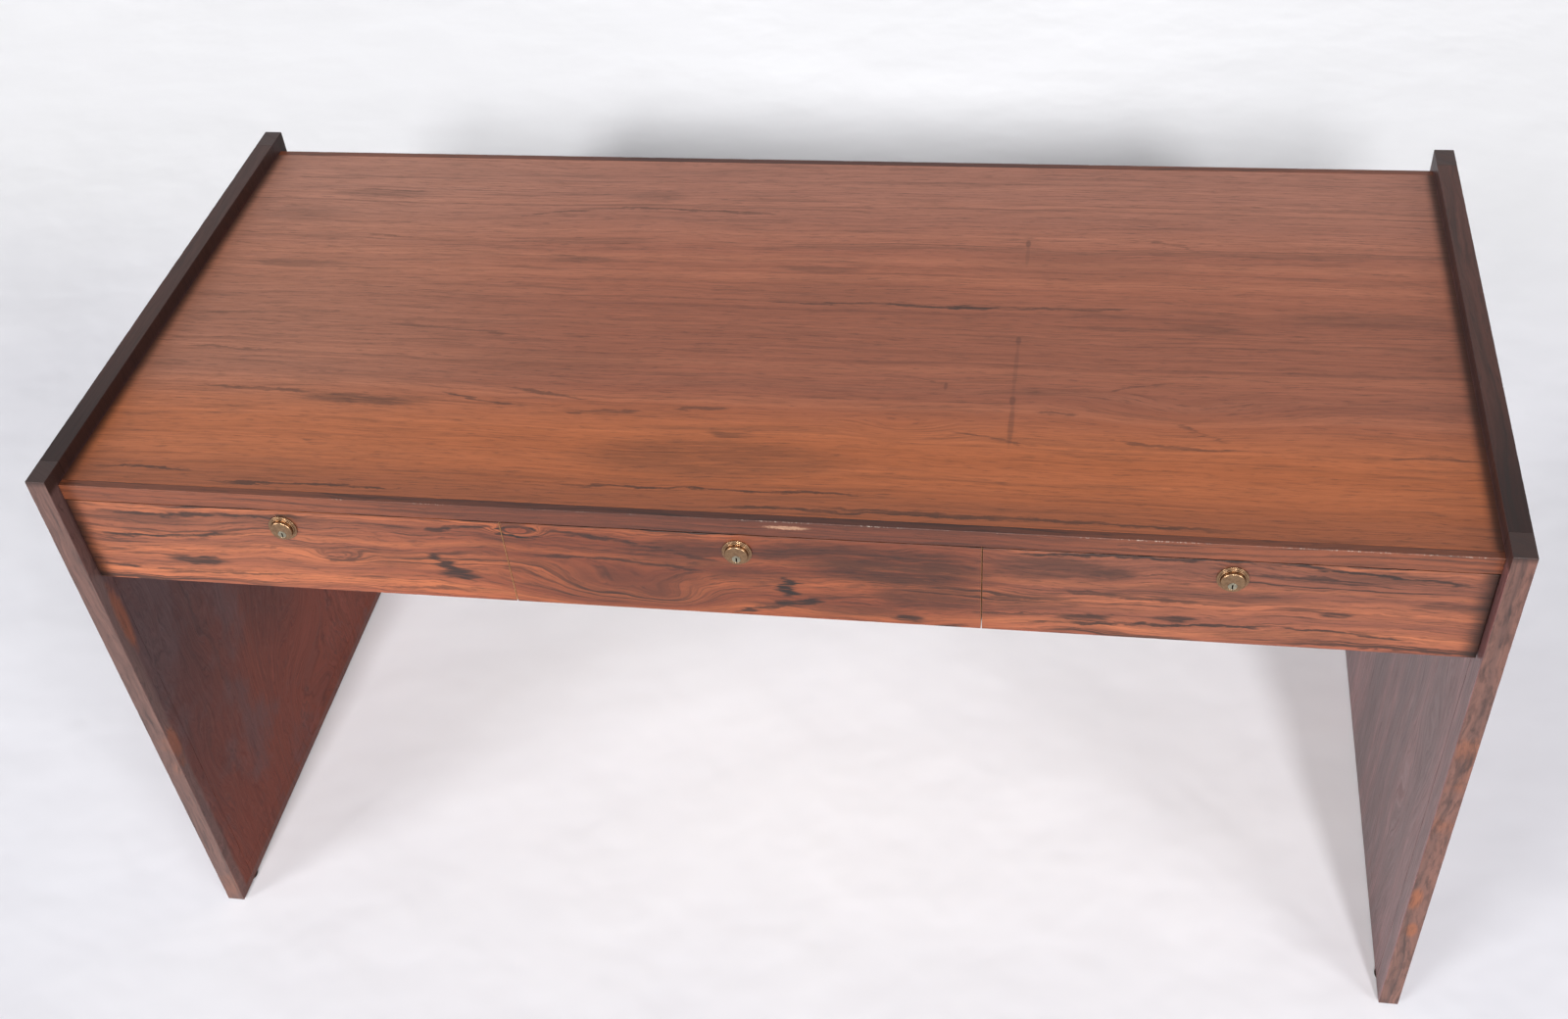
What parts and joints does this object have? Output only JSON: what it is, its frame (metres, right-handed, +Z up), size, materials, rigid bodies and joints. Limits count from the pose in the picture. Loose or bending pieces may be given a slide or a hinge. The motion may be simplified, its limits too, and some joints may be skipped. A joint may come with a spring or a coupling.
{
  "type": "office desk",
  "caption": "Slab-sided office desk in figured rosewood: top set between raised side panels, flush locking drawers in a row below it, brass cylinder locks, open kneehole.",
  "frame": {"origin": "on the floor, under the middle of the desk", "axes": "+X to the right of a person sitting at the desk, +Y away from them, +Z up"},
  "size_m": [1.53, 0.724, 0.75],
  "materials": {
    "rosewood_veneer": "oiled veneer",
    "solid_rosewood": "oiled",
    "drawer_wood": "waxed beech",
    "drawer_plywood": "sanded plywood",
    "lock_brass": "aged, brushed",
    "lock_steel": "plated",
    "glide_plastic": "matt"
  },
  "bodies": {
    "carcass": {"left_side_panel": "rosewood_veneer", "left_front_lipping": "solid_rosewood", "left_back_lipping": "solid_rosewood", "left_top_lipping": "solid_rosewood", "left_bottom_lipping": "solid_rosewood", "right_side_panel": "rosewood_veneer", "right_front_lipping": "solid_rosewood", "right_back_lipping": "solid_rosewood", "right_top_lipping": "solid_rosewood", "right_bottom_lipping": "solid_rosewood", "top_panel": "rosewood_veneer", "top_front_lipping": "solid_rosewood", "top_back_lipping": "solid_rosewood", "back_rail": "rosewood_veneer", "left_divider": "drawer_wood", "right_divider": "drawer_wood", "left_drawer_left_runner": "drawer_wood", "left_drawer_right_runner": "drawer_wood", "left_strike_plate": "lock_brass", "middle_drawer_left_runner": "drawer_wood", "middle_drawer_right_runner": "drawer_wood", "middle_strike_plate": "lock_brass", "right_drawer_left_runner": "drawer_wood", "right_drawer_right_runner": "drawer_wood", "right_strike_plate": "lock_brass", "floor_glides": "glide_plastic"},
    "left_drawer": {"left_drawer_left_side": "drawer_wood", "left_drawer_right_side": "drawer_wood", "left_drawer_front": "rosewood_veneer", "left_drawer_back": "drawer_wood", "left_drawer_bottom": "drawer_plywood", "left_lock_rosette": "lock_brass", "left_lock_barrel": "lock_brass", "left_lock_case": "lock_steel"},
    "left_lock_plug": {"left_lock_plug": "lock_brass"},
    "left_lock_bolt": {"left_lock_bolt": "lock_steel"},
    "middle_drawer": {"middle_drawer_left_side": "drawer_wood", "middle_drawer_right_side": "drawer_wood", "middle_drawer_front": "rosewood_veneer", "middle_drawer_back": "drawer_wood", "middle_drawer_bottom": "drawer_plywood", "middle_lock_rosette": "lock_brass", "middle_lock_barrel": "lock_brass", "middle_lock_case": "lock_steel"},
    "middle_lock_plug": {"middle_lock_plug": "lock_brass"},
    "middle_lock_bolt": {"middle_lock_bolt": "lock_steel"},
    "right_drawer": {"right_drawer_left_side": "drawer_wood", "right_drawer_right_side": "drawer_wood", "right_drawer_front": "rosewood_veneer", "right_drawer_back": "drawer_wood", "right_drawer_bottom": "drawer_plywood", "right_lock_rosette": "lock_brass", "right_lock_barrel": "lock_brass", "right_lock_case": "lock_steel"},
    "right_lock_plug": {"right_lock_plug": "lock_brass"},
    "right_lock_bolt": {"right_lock_bolt": "lock_steel"}
  },
  "joints": [
    {"name": "left_drawer_slide", "type": "slide", "parent": "carcass", "child": "left_drawer", "axis": [0, -1, 0], "range_m": [0, 0.36]},
    {"name": "left_bolt_slide", "type": "slide", "parent": "left_drawer", "child": "left_lock_bolt", "axis": [0, 0, 1], "range_m": [0, 0.00707]},
    {"name": "left_plug_turn", "type": "hinge", "parent": "left_drawer", "child": "left_lock_plug", "pos_m": [-0.49608, -0.344, 0.68265], "axis": [0, -1, 0], "range_deg": [0, 90]},
    {"name": "middle_drawer_slide", "type": "slide", "parent": "carcass", "child": "middle_drawer", "axis": [0, -1, 0], "range_m": [0, 0.36]},
    {"name": "middle_bolt_slide", "type": "slide", "parent": "middle_drawer", "child": "middle_lock_bolt", "axis": [0, 0, 1], "range_m": [0, 0.00707]},
    {"name": "middle_plug_turn", "type": "hinge", "parent": "middle_drawer", "child": "middle_lock_plug", "pos_m": [0, -0.344, 0.68265], "axis": [0, -1, 0], "range_deg": [0, 90]},
    {"name": "right_drawer_slide", "type": "slide", "parent": "carcass", "child": "right_drawer", "axis": [0, -1, 0], "range_m": [0, 0.36]},
    {"name": "right_bolt_slide", "type": "slide", "parent": "right_drawer", "child": "right_lock_bolt", "axis": [0, 0, 1], "range_m": [0, 0.00707]},
    {"name": "right_plug_turn", "type": "hinge", "parent": "right_drawer", "child": "right_lock_plug", "pos_m": [0.49608, -0.344, 0.68265], "axis": [0, -1, 0], "range_deg": [0, 90]}
  ],
  "couplings": [
    {"joint": "left_plug_turn", "follows": "left_bolt_slide", "rad_per_m": 222.14},
    {"joint": "middle_plug_turn", "follows": "middle_bolt_slide", "rad_per_m": 222.14},
    {"joint": "right_plug_turn", "follows": "right_bolt_slide", "rad_per_m": 222.14}
  ]
}
